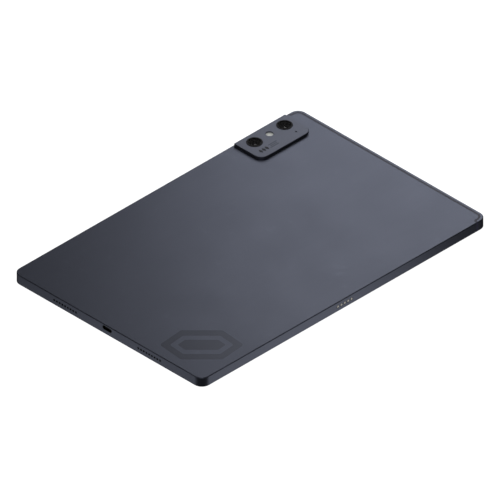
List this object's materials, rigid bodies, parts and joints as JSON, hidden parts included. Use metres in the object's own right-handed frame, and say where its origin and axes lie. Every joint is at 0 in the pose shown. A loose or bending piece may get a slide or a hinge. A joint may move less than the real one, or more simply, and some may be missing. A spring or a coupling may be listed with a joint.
{
  "type": "tablet computer",
  "caption": "Thin flat tablet computer lying on its screen, with a raised camera island at one corner, a port and speaker grilles on its edges, side keys and a card tray.",
  "frame": {"origin": "centre of the front glass's outer face", "axes": "+X along the long side towards the camera end, +Y along the short side towards the edge with the camera island, +Z out of the back; the tablet lies on its screen"},
  "size_m": [0.2783, 0.1848, 0.0099],
  "materials": {
    "housing_metal": "fine bead-blasted anodised, dark slate grey, satin",
    "antenna_plastic": "moulded plastic a shade darker than the metal",
    "cover_glass": "polished cover glass over a black display",
    "lens_glass": "coated optical glass",
    "black_plastic": "fine moulded grain, black",
    "camera_plastic": "matt black optical housing",
    "adhesive_foam": "thin foam tape",
    "display_glass": "switched-off panel, near black",
    "backlight_plastic": "white light guide with films",
    "cast_frame": "die-cast, shot blasted",
    "lens_ring_metal": "black anodised, satin, turned",
    "flash_diffuser": "frosted clear window",
    "led_phosphor": "yellow phosphor",
    "circuit_board": "solder mask over laminate",
    "battery_pouch": "laminated foil pouch, dark",
    "shield_steel": "tinned sheet",
    "switch_plastic": "moulded",
    "contact_metal": "plated, slightly rubbed",
    "magnet_nickel": "nickel plated",
    "port_steel": "drawn stainless sheet",
    "mesh_steel": "black woven mesh",
    "screw_steel": "dark zinc plated",
    "steel_rod": "stamped steel",
    "flex_film": "amber polyimide film",
    "graphite_sheet": "graphite film",
    "cable_jacket": "thin coaxial jacket"
  },
  "bodies": {
    "tablet_body": {"antenna_cable": "cable_jacket", "antenna_end_cap": "housing_metal", "antenna_strip": "antenna_plastic", "backlight_unit": "backlight_plastic", "battery_board": "circuit_board", "battery_cell_1": "battery_pouch", "battery_cell_2": "battery_pouch", "bezel_frame": "black_plastic", "board_screws": "screw_steel", "camera_flexes": "flex_film", "camera_island": "housing_metal", "card_reader": "black_plastic", "chassis_screws": "screw_steel", "contact_holder": "black_plastic", "display_adhesive": "adhesive_foam", "display_cell": "display_glass", "display_flex": "flex_film", "dock_contacts": "contact_metal", "dock_magnets": "magnet_nickel", "flash_board": "circuit_board", "flash_led": "led_phosphor", "flash_lens": "flash_diffuser", "front_camera_1": "camera_plastic", "front_camera_2": "camera_plastic", "front_glass": "cover_glass", "heat_spreader": "graphite_sheet", "interconnect_flex": "flex_film", "lens_cover_1": "lens_glass", "lens_cover_2": "lens_glass", "lens_ring_1": "lens_ring_metal", "lens_ring_2": "lens_ring_metal", "light_sensor": "switch_plastic", "main_board": "circuit_board", "mid_frame": "cast_frame", "power_switch": "switch_plastic", "reader_cover": "shield_steel", "rear_camera_1": "camera_plastic", "rear_camera_2": "camera_plastic", "rear_housing": "housing_metal", "rear_microphone": "shield_steel", "shield_can_1": "shield_steel", "shield_can_2": "shield_steel", "shield_can_3": "shield_steel", "speaker_1": "black_plastic", "speaker_2": "black_plastic", "speaker_3": "black_plastic", "speaker_4": "black_plastic", "speaker_meshes": "mesh_steel", "sub_board": "circuit_board", "top_microphone": "shield_steel", "usb_c_shell": "port_steel", "usb_c_tongue": "black_plastic", "volume_switches": "switch_plastic"},
    "power_key": {"power_key": "housing_metal"},
    "volume_rocker": {"volume_rocker": "housing_metal"},
    "card_tray": {"card_tray": "housing_metal"},
    "eject_slide": {"eject_slide": "black_plastic"},
    "eject_rod": {"eject_rod": "steel_rod"},
    "eject_lever": {"eject_lever": "steel_rod"}
  },
  "joints": [
    {"name": "power_key_press", "type": "slide", "parent": "tablet_body", "child": "power_key", "axis": [-1, 0, 0], "range_m": [0, 0.00025], "stiffness_N_per_m": 2000, "springref_m": -0.0005},
    {"name": "volume_rocker_tilt", "type": "hinge", "parent": "tablet_body", "child": "volume_rocker", "pos_m": [0.046, 0.0905, 0.0039], "axis": [0, 0, 1], "range_deg": [-1.3, 1.3], "stiffness_Nm_per_rad": 0.56},
    {"name": "eject_slide_travel", "type": "slide", "parent": "tablet_body", "child": "eject_slide", "axis": [1, 0, 0], "range_m": [0, 0.0015]},
    {"name": "card_tray_pull", "type": "slide", "parent": "eject_slide", "child": "card_tray", "axis": [1, 0, 0], "range_m": [0, 0.022]},
    {"name": "eject_rod_push", "type": "slide", "parent": "tablet_body", "child": "eject_rod", "axis": [-1, 0, 0], "range_m": [0, 0.0015]},
    {"name": "eject_lever_turn", "type": "hinge", "parent": "tablet_body", "child": "eject_lever", "pos_m": [0.1166, -0.0706, 0.00405], "axis": [0, 0, -1], "range_deg": [0, 22]}
  ],
  "couplings": [
    {"joint": "eject_rod_push", "follows": "eject_slide_travel", "ratio": 1},
    {"joint": "eject_lever_turn", "follows": "eject_slide_travel", "rad_per_m": 250}
  ]
}
